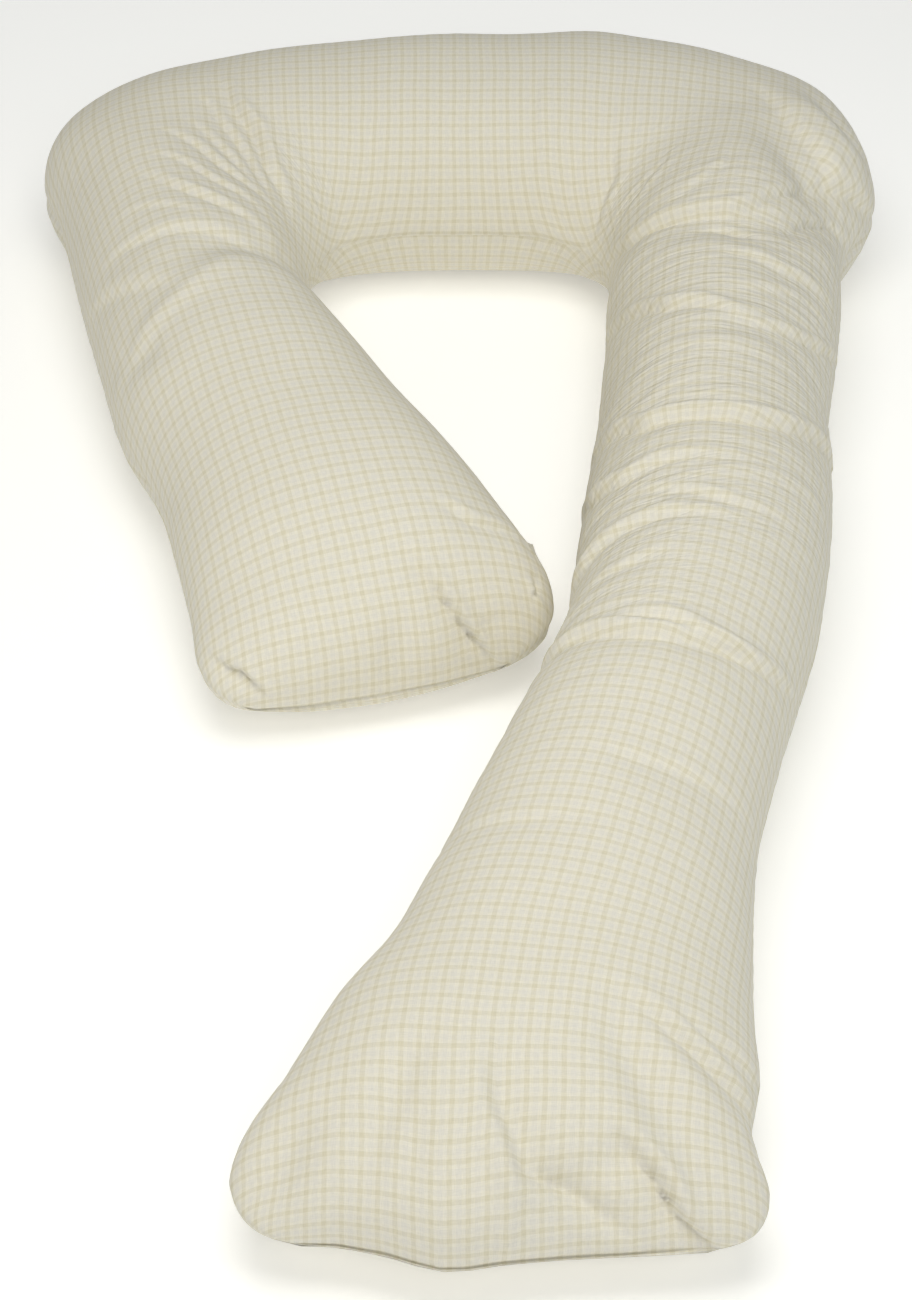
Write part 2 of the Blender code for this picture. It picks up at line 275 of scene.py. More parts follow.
def panel(power, heights_over, tucks, faces):
    """One panel as rows of points, with its breadth in each row and the points' shares of it."""
    angle = np.linspace(0, pi, ANGLE_STEPS)
    step = np.linspace(0, 1, faces + 1)
    spread = step - SEAM_CROWDING * np.sin(2 * pi * step) / (2 * pi)
    rows, breadths = [], []
    for r in range(ROWS):
        share = inset[r] + (1 - bent(np.cos(angle), power)) / 2 * (1 - 2 * inset[r])
        flat = outer[r] + (inner[r] - outer[r]) * share[:, None]
        flat = flat + pushed_out(r, share, tucks[r]) - PLAN_CENTRE
        line = np.column_stack([flat, heights_over(r, np.sin(angle)) - tucks[r]])
        over = np.concatenate([[0.0], np.cumsum(np.linalg.norm(np.diff(line, axis=0), axis=1))])
        rows.append(np.column_stack([np.interp(spread * over[-1], over, line[:, k]) for k in range(3)]))
        breadths.append(over[-1])
    return np.array(rows), np.array(breadths), spread


def upper_heights(row, round_share):
    """Heights of the upper panel in one row, from the seam to the crown."""
    return seam[row] + (crown[row] - seam[row]) * np.abs(round_share) ** CROWN_POWER


def under_heights(row, round_share):
    """Heights of the under panel in one row, down to the floor that flattens it."""
    drop = (seam[row] + FLOOR_SINK) * np.abs(round_share) * under_swell[row]
    return np.maximum(0.0, seam[row] - drop)


upper, upper_breadth, upper_share = panel(SIDE_POWER, upper_heights, upper_tuck, UPPER_FACES)
under, under_breadth, under_share = panel(UNDER_POWER, under_heights, under_tuck, UNDER_FACES)

# ================================================================ pillow: the seam all round
# The two panels meet in one seam, so they share its points, and both ends are closed by their last
# sections. The same sewing makes the coarse cover that is filled and the fine one that is seen.


def sewn(upper_grid, under_grid, upper_steps, under_steps):
    """Points of the closed cover, its faces, and the grids of indices of both panels."""
    rows, columns = upper_grid.shape[:2]
    under_columns = under_grid.shape[1]
    points = [tuple(p) for p in upper_grid.reshape(-1, 3)]
    upper_index = np.arange(len(points)).reshape(rows, columns)
    under_index = np.zeros((rows, under_columns), int)
    under_index[:, 0], under_index[:, -1] = upper_index[:, 0], upper_index[:, -1]
    for r in range(1, rows - 1):
        under_index[r, 1:-1] = len(points) + np.arange(under_columns - 2)
        points.extend(tuple(p) for p in under_grid[r, 1:-1])
    matching = np.round(np.interp(under_steps, upper_steps, np.arange(columns))).astype(int)
    matching[0], matching[-1] = 0, columns - 1
    for r in (0, rows - 1):
        under_index[r] = upper_index[r, matching]
    upper_faces, under_faces = [], []
    for r in range(rows - 1):
        for c in range(columns - 1):
            upper_faces.append([(r, c), (r + 1, c), (r + 1, c + 1), (r, c + 1)])
        for c in range(under_columns - 1):
            under_faces.append([(r, c + 1), (r + 1, c + 1), (r + 1, c), (r, c)])
    faces = [[upper_index[k] for k in face] for face in upper_faces]
    for face in under_faces:
        corners = [under_index[k] for k in face]
        r, c = face[3]
        between = list(range(matching[c] + 1, matching[c + 1]))
        if r == 0:
            corners = corners + [upper_index[0, k] for k in between]
        elif r == rows - 2:
            corners = corners[:2] + [upper_index[-1, k] for k in between[::-1]] + corners[2:]
        faces.append(corners)
    return points, faces, upper_faces, under_faces, upper_index, under_index


# ================================================================ pillow: the filling
# The cover is filled with loose fibre, which presses the cloth out until it is taut across the leg.
# Along the leg the cloth is longer than its side, so it gathers there. The pressing out is a cloth
# simulation on every second row and column of the cover.

FILL_FRAMES = 16
FILL_PRESSURE = 1.4
CLOTH_STRETCH = 15.0
CLOTH_SHEAR = 5.0
CLOTH_BEND = 0.02
CLOTH_MASS = 0.15  # of each point
CLOTH_QUALITY = 5  # steps of the simulation in a frame
LARGEST_MOVE = 0.007
ON_FLOOR = 0.010  # the seam, and what lies lower than this, stay where they are


def finer(moves):
    """Moves of every second row and column, spread to all rows and columns."""
    for axis in (0, 1):
        coarse = np.moveaxis(moves, axis, 0)
        full = np.empty((2 * len(coarse) - 1,) + coarse.shape[1:])
        full[::2] = coarse
        full[1::2] = (coarse[:-1] + coarse[1:]) / 2
        moves = np.moveaxis(full, 0, axis)
    return moves


def filling_moves():
    """How far the filling moves each point of the two panels."""
    sewing = sewn(upper[::2, ::2], under[::2, ::2], upper_share[::2], under_share[::2])
    points, faces, upper_index, under_index = sewing[0], sewing[1], sewing[4], sewing[5]
    start = np.array(points)
    coarse_cover = bpy.data.meshes.new("coarse_cover")
    coarse_cover.from_pydata(points, [], faces)
    coarse = bpy.data.objects.new("coarse_cover", coarse_cover)
    bpy.context.scene.collection.objects.link(coarse)

    row_of = np.zeros(len(points), int)
    for index in (under_index, upper_index):
        row_of[index] = np.arange(len(index))[:, None]
    strides = np.vstack([[0.0, 0.0], np.diff(spine[::2], axis=0)])
    spare = along_pillow(plan[:, 6], station[::2])
    longer = np.cumsum(strides * spare[:, None], axis=0)
    rest = start.copy()
    rest[:, 0:2] += longer[row_of]
    coarse.shape_key_add(name="filled")
    uncrowded = coarse.shape_key_add(name="uncrowded")
    uncrowded.data.foreach_set("co", rest.astype(np.float32).ravel())
    uncrowded.value = 0.0

    still = np.zeros(len(points), bool)
    still[start[:, 2] < ON_FLOOR] = True
    for seam_points in (upper_index[0], upper_index[-1], upper_index[:, 0], upper_index[:, -1]):
        still[seam_points] = True
    held = coarse.vertex_groups.new(name="held")
    held.add([int(k) for k in np.flatnonzero(still)], 1.0, "REPLACE")
    cloth = coarse.modifiers.new("cloth", "CLOTH")
    cloth.settings.quality = CLOTH_QUALITY
    cloth.settings.mass = CLOTH_MASS
    cloth.settings.tension_stiffness = CLOTH_STRETCH
    cloth.settings.compression_stiffness = CLOTH_STRETCH
    cloth.settings.shear_stiffness = CLOTH_SHEAR
    cloth.settings.bending_stiffness = CLOTH_BEND
    cloth.settings.use_pressure = True
    cloth.settings.uniform_pressure_force = FILL_PRESSURE
    cloth.settings.vertex_group_mass = "held"
    cloth.settings.rest_shape_key = uncrowded
    cloth.settings.effector_weights.gravity = 0
    cloth.collision_settings.use_collision = False
    cloth.collision_settings.use_self_collision = False
    cloth.point_cache.frame_start, cloth.point_cache.frame_end = 1, FILL_FRAMES
    for frame_number in range(1, FILL_FRAMES + 1):
        bpy.context.scene.frame_set(frame_number)
    filled = coarse.evaluated_get(bpy.context.evaluated_depsgraph_get()).to_mesh()
    moved = np.empty(3 * len(points), np.float32)
    filled.vertices.foreach_get("co", moved)
    bpy.context.scene.frame_set(1)
    bpy.data.objects.remove(coarse)
    moves = moved.reshape(-1, 3) - start
    distance = np.linalg.norm(moves, axis=1, keepdims=True)
    moves *= np.minimum(1, LARGEST_MOVE / np.maximum(distance, 1e-9))
    return finer(moves[upper_index]), finer(moves[under_index])


upper_moves, under_moves = filling_moves()
upper = upper + upper_moves
under = under + under_moves
under[..., 2] = np.maximum(under[..., 2], 0)

# ================================================================ pillow: how the flat cloth lies on it
# The check follows the cloth as it was cut: every section is a straight line across the flat
# panel, and between two sections there is at least as much cloth as the filled side is long.
# What is more than that lies gathered in folds.


def rolling_mean(values, rows):
    """The mean over neighbouring rows of the mesh, with the end rows repeated beyond the ends."""
    padded = np.concatenate([values[:1].repeat(rows, 0), values, values[-1:].repeat(rows, 0)])
    total = np.cumsum(padded, axis=0)
    return (total[2 * rows :] - total[: -2 * rows]) / (2 * rows)


CORNER_SPARE = 0.25  # how much of the cloth that a corner's arc would need is there
SPARE_ROWS = 6  # the spare cloth evens out over this many rows of the mesh to either side


def laid_flat(grid, breadth, share):
    """Where each point of a filled panel lies on the flat cloth, and the share of spare cloth there."""
    turn = np.radians(along_pillow(plan[:, 5], station))
    spare = along_pillow(plan[:, 6], station)
    across = (inner - outer) / width[:, None]
    heading = np.unwrap(np.arctan2(across[:, 1], across[:, 0])) - turn
    flat_across = np.column_stack([np.cos(heading), np.sin(heading)])
    flat_along = np.column_stack([flat_across[:, 1], -flat_across[:, 0]])
    centre = np.zeros((ROWS, 2))
    for r in range(1, ROWS):
        square = np.array([across[r, 1], -across[r, 0]])
        ahead = np.linalg.norm(spine[r] - spine[r - 1])
        stretch = np.hypot(ahead, crown[r] - crown[r - 1]) / ahead
        step_outer = (outer[r] - outer[r - 1]) @ square * stretch
        step_inner = (inner[r] - inner[r - 1]) @ square * stretch
        sideways = (spine[r] - spine[r - 1]) @ across[r]
        needed = (heading[r] - heading[r - 1]) * breadth[r] - (step_outer - step_inner)
        forward = (step_outer + step_inner + CORNER_SPARE * abs(needed)) / 2 * (1 + spare[r])
        centre[r] = centre[r - 1] + flat_along[r] * forward + flat_across[r] * sideways
    from_middle = (share[None, :] - 0.5) * breadth[:, None]
    flat = centre[:, None, :] + flat_across[:, None, :] * from_middle[..., None]
    cloth_steps = np.linalg.norm(np.diff(flat, axis=0), axis=2)
    solid_steps = np.linalg.norm(np.diff(grid, axis=0), axis=2)
    surplus = cloth_steps / np.maximum(solid_steps, 1e-5) - 1
    return flat, flat_along, rolling_mean(np.vstack([surplus[:1], surplus]), SPARE_ROWS)


upper_flat, upper_along, upper_surplus = laid_flat(upper, upper_breadth, upper_share)
under_flat = laid_flat(under, under_breadth, under_share)[0]

# ================================================================ pillow: folds
# The cloth creases where it is bent or pressed: a sharp line, with the cloth puffed up in a narrow
# ridge on one side of it. The folds fan out from both inner corners, run across the long leg and end
# at the seams.

# The lines were picked on the photo and worked out as distances over the cloth.
# Each point of a line is (metres over the crown from the foot's end seam, metres over the cloth from
# the middle towards the inner seam). The ridge is on the line's left side, and ridge is its height as a
# share of the depth. A fold without a ridge is a plain hollow, and with a negative depth a plain ridge.
Fold = namedtuple("Fold", "depth width ridge line")
FOLDS = [
    # left inner corner, a fan
    Fold(0.008, 0.009, 0.4, [(1.980, -0.005), (1.992, 0.018), (2.016, 0.065), (2.049, 0.100),
                             (2.074, 0.130)]),
    Fold(0.004, 0.007, 0.4, [(2.015, 0.001), (2.035, 0.038), (2.053, 0.066), (2.075, 0.090),
                             (2.102, 0.110)]),
    Fold(0.004, 0.007, 0.4, [(2.097, -0.001), (2.099, 0.031), (2.114, 0.052), (2.125, 0.076),
                             (2.129, 0.101)]),
    Fold(0.005, 0.008, 0.35, [(2.195, -0.033), (2.207, -0.014), (2.213, 0.014), (2.222, 0.041),
                              (2.229, 0.067)]),
    Fold(0.005, 0.010, 0.25, [(2.293, -0.084), (2.289, -0.049), (2.282, -0.009), (2.276, 0.019),
                              (2.277, 0.047)]),
    Fold(0.012, 0.024, 0.0, [(2.325, -0.030), (2.300, 0.010), (2.279, 0.058), (2.273, 0.085),
                             (2.230, 0.125)]),
    Fold(-0.004, 0.012, 0.0, [(2.430, -0.150), (2.401, -0.077), (2.369, -0.027), (2.323, 0.023)]),
    Fold(0.005, 0.016, 0.3, [(2.314, -0.137), (2.349, -0.088), (2.361, -0.055)]),
    Fold(0.006, 0.018, 0.0, [(2.412, -0.134), (2.429, -0.106), (2.441, -0.084)]),
    Fold(0.003, 0.006, 0.4, [(2.060, 0.012), (2.070, 0.040), (2.090, 0.070), (2.112, 0.092)]),
    Fold(0.003, 0.006, 0.4, [(2.150, -0.020), (2.155, 0.010), (2.170, 0.040), (2.180, 0.080)]),
    Fold(0.002, 0.006, 0.4, [(2.245, -0.060), (2.240, -0.030), (2.245, 0.005)]),
    # bar, a faint crease down its middle
    Fold(0.002, 0.006, 0.3, [(1.626, 0.030), (1.617, 0.074), (1.607, 0.113), (1.607, 0.139)]),
    # right inner corner, a fan
    Fold(0.003, 0.007, 0.5, [(1.472, 0.087), (1.415, 0.132), (1.410, 0.151), (1.387, 0.181)]),
    Fold(0.003, 0.007, 0.5, [(1.345, 0.081), (1.330, 0.087), (1.303, 0.110), (1.290, 0.140)]),
    Fold(0.002, 0.006, 0.5, [(1.196, 0.055), (1.219, 0.023), (1.249, 0.010), (1.291, 0.011)]),
    Fold(0.010, 0.009, 0.25, [(1.257, 0.167), (1.187, 0.109), (1.168, 0.053), (1.158, -0.005),
                              (1.171, -0.027), (1.226, -0.078)]),
    Fold(0.010, 0.020, 0.0, [(1.145, 0.060), (1.137, -0.009), (1.156, -0.058), (1.216, -0.136)]),
    Fold(0.004, 0.007, 0.5, [(1.139, 0.029), (1.139, 0.009), (1.124, -0.027), (1.130, -0.070)]),
    Fold(0.005, 0.008, 0.6, [(1.084, 0.001), (1.086, -0.029), (1.082, -0.052), (1.088, -0.083),
                             (1.095, -0.120)]),
    Fold(0.003, 0.007, 0.6, [(1.042, -0.030), (1.051, -0.061), (1.054, -0.095)]),
    # right outer corner: the slack ear behind its crease, and the hollow in front of it
    Fold(0.008, 0.012, 0.2, [(1.400, -0.046), (1.370, -0.048), (1.321, -0.054), (1.280, -0.078),
                             (1.249, -0.112), (1.262, -0.150), (1.280, -0.190)]),
    Fold(0.016, 0.030, 0.0, [(1.360, -0.026), (1.310, -0.036), (1.264, -0.060), (1.234, -0.090),
                             (1.240, -0.140)]),
    Fold(-0.006, 0.014, 0.0, [(1.385, -0.072), (1.343, -0.080), (1.304, -0.098), (1.288, -0.128)]),
    Fold(0.005, 0.012, 0.0, [(1.385, -0.105), (1.345, -0.115), (1.318, -0.140), (1.312, -0.165)]),
    Fold(0.005, 0.012, 0.0, [(1.201, -0.055), (1.241, -0.100), (1.253, -0.120), (1.262, -0.149),
                             (1.278, -0.181)]),
    Fold(0.005, 0.007, 0.3, [(1.144, -0.051), (1.178, -0.087), (1.216, -0.130), (1.225, -0.160)]),
    # long leg, across it
    Fold(0.006, 0.009, 0.7, [(1.075, 0.140), (1.053, 0.100), (1.023, 0.048), (1.015, 0.019),
                             (0.997, -0.013), (1.004, -0.052)]),
    Fold(0.005, 0.008, 0.8, [(0.990, 0.005), (0.991, -0.037), (0.997, -0.070), (1.016, -0.107),
                             (1.050, -0.150)]),
    Fold(0.009, 0.010, 0.65, [(0.904, 0.127), (0.870, 0.059), (0.862, 0.009), (0.855, -0.033),
                              (0.859, -0.073), (0.882, -0.121), (0.895, -0.145)]),
    Fold(0.005, 0.009, 0.8, [(0.850, 0.160), (0.830, 0.122), (0.811, 0.075), (0.811, 0.045),
                             (0.803, -0.014)]),
    Fold(0.004, 0.007, 0.5, [(0.785, 0.060), (0.775, 0.043), (0.755, 0.003), (0.743, -0.027),
                             (0.735, -0.070)]),
    Fold(0.006, 0.009, 0.7, [(0.745, 0.150), (0.737, 0.114), (0.742, 0.067), (0.736, 0.031),
                             (0.725, -0.010)]),
    Fold(0.003, 0.008, 0.5, [(0.690, 0.100), (0.684, 0.050), (0.686, 0.010)]),
    Fold(0.008, 0.009, 0.65, [(0.630, 0.140), (0.610, 0.093), (0.603, 0.067), (0.575, 0.009),
                              (0.565, -0.027), (0.562, -0.080)]),
    Fold(0.006, 0.009, 0.7, [(0.600, 0.025), (0.588, -0.005), (0.574, -0.035), (0.564, -0.068),
                             (0.564, -0.106), (0.575, -0.140)]),
    Fold(0.004, 0.010, 0.15, [(0.445, 0.010), (0.432, -0.025), (0.424, -0.057), (0.415, -0.088),
                              (0.412, -0.130)]),
    Fold(0.003, 0.012, 0.15, [(0.420, 0.135), (0.397, 0.093), (0.377, 0.043), (0.368, -0.005)]),
    # foot: the pleat in the middle, which swings to the right, and its ridge down to the seam
    Fold(0.012, 0.012, 0.4, [(0.020, -0.084), (0.029, -0.072), (0.055, -0.042), (0.069, -0.017),
                             (0.096, -0.008), (0.113, 0.000), (0.145, 0.007)]),
    Fold(-0.006, 0.008, 0.0, [(0.080, -0.006), (0.043, -0.005), (0.000, -0.004), (-0.020, -0.004)]),
    Fold(0.008, 0.020, 0.0, [(0.072, -0.022), (0.051, -0.041), (0.034, -0.067), (0.020, -0.090)]),
    # foot: the deep crease by the right corner and the shallow one that leads to it
    Fold(0.015, 0.009, 0.4, [(0.092, -0.086), (0.080, -0.096), (0.065, -0.108), (0.036, -0.120),
                             (0.018, -0.134), (-0.010, -0.150)]),
    Fold(0.006, 0.014, 0.0, [(0.055, -0.050), (0.067, -0.064), (0.077, -0.081), (0.080, -0.105)]),
    # foot: creases and a roll down its right flank, soft hollows on the left
    Fold(0.009, 0.018, 0.0, [(0.190, -0.060), (0.168, -0.072), (0.130, -0.104), (0.102, -0.120),
                             (0.070, -0.140)]),
    Fold(-0.004, 0.015, 0.0, [(0.190, -0.075), (0.175, -0.087), (0.150, -0.123), (0.128, -0.156),
                              (0.119, -0.190)]),
    Fold(0.008, 0.009, 0.4, [(0.205, -0.060), (0.194, -0.080), (0.172, -0.116), (0.153, -0.154),
                             (0.143, -0.200)]),
    Fold(0.004, 0.008, 0.4, [(0.190, -0.110), (0.178, -0.133), (0.171, -0.173), (0.170, -0.210)]),
    Fold(0.008, 0.015, 0.0, [(0.165, 0.060), (0.147, 0.067), (0.120, 0.072), (0.088, 0.087),
                             (0.060, 0.095)]),
    Fold(0.004, 0.012, 0.0, [(0.120, 0.050), (0.104, 0.054), (0.077, 0.060), (0.060, 0.062)]),
    Fold(0.010, 0.020, 0.0, [(0.115, 0.130), (0.092, 0.144), (0.066, 0.160), (0.055, 0.190)]),
    # end of the short leg: the tuck at its left corner and the creases by its right one
    Fold(0.009, 0.006, 0.4, [(2.778, -0.136), (2.788, -0.127), (2.798, -0.114), (2.824, -0.096)]),
    Fold(0.012, 0.007, 0.3, [(2.728, 0.026), (2.747, 0.040), (2.769, 0.055), (2.804, 0.079),
                             (2.845, 0.118)]),
    Fold(0.005, 0.007, 0.5, [(2.684, 0.066), (2.691, 0.077), (2.697, 0.088), (2.700, 0.105),
                             (2.700, 0.128)]),
    Fold(0.004, 0.016, 0.0, [(2.840, 0.010), (2.800, 0.015), (2.770, 0.020)]),
]
CREASE_FAR = 0.35  # how fast the cloth rises from the crease to the ridge, in widths of the fold
CREASE_NEAR = 1.5  # and on the other side
RIDGE_PLACE = 1.0  # how far from the crease the ridge stands
RIDGE_HALF = 0.6  # half the breadth of the ridge
BESIDE_CLOTH = 0.2  # keeps a fold off the far side of the leg
FADE_START = 0.06  # a fold fades as half a wave does, with this share cut off at both its ends
FADE_POWER = 0.8  # below 1: it keeps more of its depth near its ends
WANDER = 0.003  # how far a fold strays from its line
WANDER_PITCH = 0.05
CREASE_SEED = Vector((3.1, 7.7, 1.3))
LAYER_GAP = 17.3  # sets the noise of one layer apart from that of the next


def noise_at(points):
    """Smooth noise between about -1 and 1 at each of the points, in an array of the same shape."""
    flat = points.reshape(-1, 3)
    return np.array([noise.noise(Vector(p) + CREASE_SEED) for p in flat]).reshape(points.shape[:-1])


def field(first, second, pitch_first, pitch_second, layer):
    """Noise over the cloth with its own pitch in two directions."""
    shape = np.broadcast(first, second).shape
    points = np.empty(shape + (3,))
    points[..., 0] = first / pitch_first
    points[..., 1] = second / pitch_second
    points[..., 2] = layer * LAYER_GAP
    return noise_at(points)


def across_line(line, points, square):
    """Signed distance over the cloth to the left of a line, and the share of the line passed there."""
    lengths = np.linalg.norm(np.diff(line, axis=0), axis=1)
    nearest = np.full(points.shape[:2], np.inf)
    side, share = np.zeros(nearest.shape), np.zeros(nearest.shape)
    passed = 0.0
    for start, end, length in zip(line, line[1:], lengths):
        along = np.clip((points - start) @ (end - start) / length**2, 0, 1)
        gap = points - start - along[..., None] * (end - start)
        off_cloth = np.sum(gap * square, axis=2)
        gap = gap - square * off_cloth[..., None]
        distance = np.hypot(np.linalg.norm(gap, axis=2), BESIDE_CLOTH * off_cloth)
        closer = distance < nearest
        left = np.where(np.sum(np.cross(end - start, gap) * square, axis=2) >= 0, 1.0, -1.0)
        nearest = np.where(closer, distance, nearest)
        side = np.where(closer, left, side)
        share = np.where(closer, (passed + along * length) / lengths.sum(), share)
        passed += length
    return side * nearest, share


def on_cloth(spots):
    """Where spots, given as distances over the cloth, lie on the upper panel."""
    found = []
    for along, across in spots:
        row = int(np.argmin(np.abs(row_over - along)))
        column = np.interp(across / upper_breadth[row] + 0.5, upper_share, np.arange(UPPER_FACES + 1))
        low = min(int(column), UPPER_FACES - 1)
        found.append(upper[row, low] + (upper[row, low + 1] - upper[row, low]) * (column - low))
    return np.array(found)


def fold_heights(square):
    """How far the folds lift the cloth of the upper panel above the plain crown, or press it below."""
    plan_x, plan_y = upper[..., 0], upper[..., 1]
    stray = [field(plan_x, plan_y, WANDER_PITCH, WANDER_PITCH, k) * WANDER for k in (1, 2, 3)]
    points = upper + np.stack(stray, axis=2)
    height = np.zeros(points.shape[:2])
    for fold in FOLDS:
        distance, share = across_line(on_cloth(fold.line), points, square)
        offset = distance / fold.width
        fade_share = FADE_START + (1 - 2 * FADE_START) * share
        fade = np.maximum(0, np.sin(pi * fade_share)) ** FADE_POWER
        if fold.ridge:
            reach = np.where(offset > 0, CREASE_FAR, CREASE_NEAR)
            crease = np.exp(-np.abs(offset) / reach)
            ridge = fold.ridge * np.exp(-(((offset - RIDGE_PLACE) / RIDGE_HALF) ** 2))
            height += fold.depth * fade * (ridge - crease)
        else:
            height -= fold.depth * fade * np.exp(-(offset**2))
    return height


def squares(grid):
    """The direction square to the cloth at each point, up on the upper panel."""
    normal = np.cross(np.gradient(grid, axis=0), np.gradient(grid, axis=1))
    return normal / np.maximum(np.linalg.norm(normal, axis=2, keepdims=True), 1e-12)


def seam_distance(breadth, share):
    """Distance over the cloth to the nearest seam, at a side or at an end."""
    side = np.minimum(share, 1 - share)[None, :] * breadth[:, None]
    end = np.minimum(row_over, row_over[-1] - row_over)[:, None]
    return np.minimum(side, end)


# Gathered cloth lies in fine ripples across the pillow, with sharp valleys between rounded ridges.
# They stand higher where more cloth is spare.
RIPPLE_HEIGHT = 0.0062
RIPPLE_PITCHES = (0.020, 0.130)  # along the pillow and across it
RIPPLE_LEVEL = 0.2  # the plain crown runs at this level between their valleys and ridges
RIPPLE_STRAY = 0.012  # how far they stray along the pillow
STRAY_PITCHES = (0.10, 0.08)
RIPPLE_EDGE = 0.035  # stretch from the seam over which they come up
FOLD_EDGE = 0.012  # and over which folds and lumps do
FULL_SPARE = 0.10  # share of spare cloth in the table at which they are at their highest
FULL_SURPLUS = 0.30  # and the share found on the filled panel
TAUT_SLACK = 0.1  # what is left of them where the table has no spare cloth
LUMP_HEIGHT = 0.0030
LUMP_PITCH = 0.085

upper_square = squares(upper)
upper_edge = seam_distance(upper_breadth, upper_share)
along_rows = np.broadcast_to(row_over[:, None], upper.shape[:2])
from_middle = (upper_share[None, :] - 0.5) * upper_breadth[:, None]
spare_rows = np.clip(along_pillow(plan[:, 6], station) / FULL_SPARE, 0, 1)[:, None]
slack = np.sqrt(np.clip(upper_surplus / FULL_SURPLUS, 0, 1)) * (TAUT_SLACK + (1 - TAUT_SLACK) * spare_rows)
warp = along_rows + RIPPLE_STRAY * field(along_rows, from_middle, *STRAY_PITCHES, 4)
ripples = np.abs(field(warp, from_middle, *RIPPLE_PITCHES, 5)) - RIPPLE_LEVEL
lumps = LUMP_HEIGHT * field(upper[..., 0], upper[..., 1], LUMP_PITCH, LUMP_PITCH, 6)
upper_height = (fold_heights(upper_square) + lumps) * (1 - np.exp(-upper_edge / FOLD_EDGE))
upper_height += RIPPLE_HEIGHT * slack * ripples * (1 - np.exp(-((upper_edge / RIPPLE_EDGE) ** 2)))

# The seam draws the cloth in, with short gathers square to it.
GROOVE_DEPTH = 0.0025
GROOVE_WIDTH = 0.004
GROOVE_POWER = 1.5  # above 1: the groove is round at the bottom
GATHER_HEIGHT = 0.0010
GATHER_PITCH = 0.011
GATHER_REACH = 0.016  # how far from the seam they fade out
GATHER_START = 0.003  # and how near to it they start


def seam_relief(rows_over, edge, layer):
    """Height of the cloth beside the seam, with its gathers and the groove of the stitches."""
    gathers = GATHER_HEIGHT * field(rows_over, 0 * rows_over, GATHER_PITCH, 1.0, layer)
    gathers *= np.exp(-edge / GATHER_REACH) * (1 - np.exp(-edge / GATHER_START))
    return gathers - GROOVE_DEPTH * np.exp(-((edge / GROOVE_WIDTH) ** GROOVE_POWER))


upper_height += seam_relief(along_rows, upper_edge, 7)
upper_shape = upper + upper_square * upper_height[..., None]

# The under panel is only a little lumpy.
UNDER_LUMP_HEIGHT = 0.002

under_edge = seam_distance(under_breadth, under_share)
under_rows = np.broadcast_to(row_over[:, None], under.shape[:2])
under_middle = (under_share[None, :] - 0.5) * under_breadth[:, None]
under_lumps = field(under[..., 0], under[..., 1], LUMP_PITCH, LUMP_PITCH, 8)
under_lumps *= 1 - np.exp(-under_edge / FOLD_EDGE)
under_height = UNDER_LUMP_HEIGHT * under_lumps + seam_relief(under_rows, under_edge, 9)
under_shape = under - squares(under) * under_height[..., None]
under_shape[..., 2] = np.maximum(under_shape[..., 2], 0)

DRAWN_ROWS = 12  # cloth is drawn in from this many rows of the mesh to either side


def drawn_in(flat, along, plain, shaped):
    """The place on the flat cloth after the folds have drawn cloth in, so that lines crowd into them."""
    lengths = [np.linalg.norm(np.diff(grid, axis=0), axis=2) for grid in (plain, shaped)]
    taken = np.vstack([0 * lengths[0][:1], np.cumsum(lengths[1] - lengths[0], axis=0)])
    return flat + along[:, None, :] * (taken - rolling_mean(taken, DRAWN_ROWS))[..., None]


upper_flat = drawn_in(upper_flat, upper_along, upper, upper_shape)

# The threads don't run quite straight either.
THREAD_STRAY = 0.0012
THREAD_PITCH = 0.045
for axis in (0, 1):
    stray = field(along_rows, from_middle, THREAD_PITCH, THREAD_PITCH, 10 + axis)
    upper_flat[..., axis] += THREAD_STRAY * stray

# ================================================================ pillow: the sewn cover
# The cover carries three maps: the place of each point on the flat cloth, its distances along and
# across the pillow, and how much cloth is spare there, with the distance to the seam.

UNDER_SLACK = 0.3  # share of full slack all over the under panel


def maps_over(*layers):
    """The maps' values side by side, for each point of a panel."""
    return np.concatenate([layer if layer.ndim == 3 else layer[..., None] for layer in layers], axis=2)


def evenly_between(start, end, count):
    """Values spaced evenly between two others."""
    return [start + (end - start) * (k + 1) / (count + 1) for k in range(count)]


points, faces, upper_faces, under_faces, _, _ = sewn(upper_shape, under_shape, upper_share, under_share)
upper_maps = maps_over(upper_flat, along_rows, from_middle, slack, upper_edge)
under_slack = np.full(under_edge.shape, UNDER_SLACK)
under_maps = maps_over(under_flat, under_rows, under_middle, under_slack, under_edge)
spots = [[upper_maps[k] for k in face] for face in upper_faces]
for face, under_face in zip(faces[len(upper_faces) :], under_faces):
    spot = [under_maps[k] for k in under_face]
    extra = len(face) - len(spot)
    if under_face[3][0] == 0:
        spot = spot + evenly_between(spot[0], spot[3], extra)[::-1]
    else:
        spot = spot[:2] + evenly_between(spot[1], spot[2], extra) + spot[2:]
    spots.append(spot)
corners = np.array([corner for spot in spots for corner in spot], np.float32)
cover = bpy.data.meshes.new("body_pillow")
cover.from_pydata(points, [], faces)
for place, name in enumerate(("cloth_grain", "cloth_run", "cloth_slack")):
    grain = cover.uv_layers.new(name=name)
    grain.data.foreach_set("uv", corners[:, 2 * place : 2 * place + 2].ravel())
cover.shade_smooth()
pillow = bpy.data.objects.new("body_pillow", cover)
bpy.context.scene.collection.objects.link(pillow)

# ================================================================ pillow: check cotton
# Plain-woven cotton. A tan and a pale grey band with cream between them repeat every half inch in the
# warp and in the weft, so each spot shows the mean of the two yarns that cross there. The yarn is a
# little uneven, and slack cloth puckers finely across the pillow.

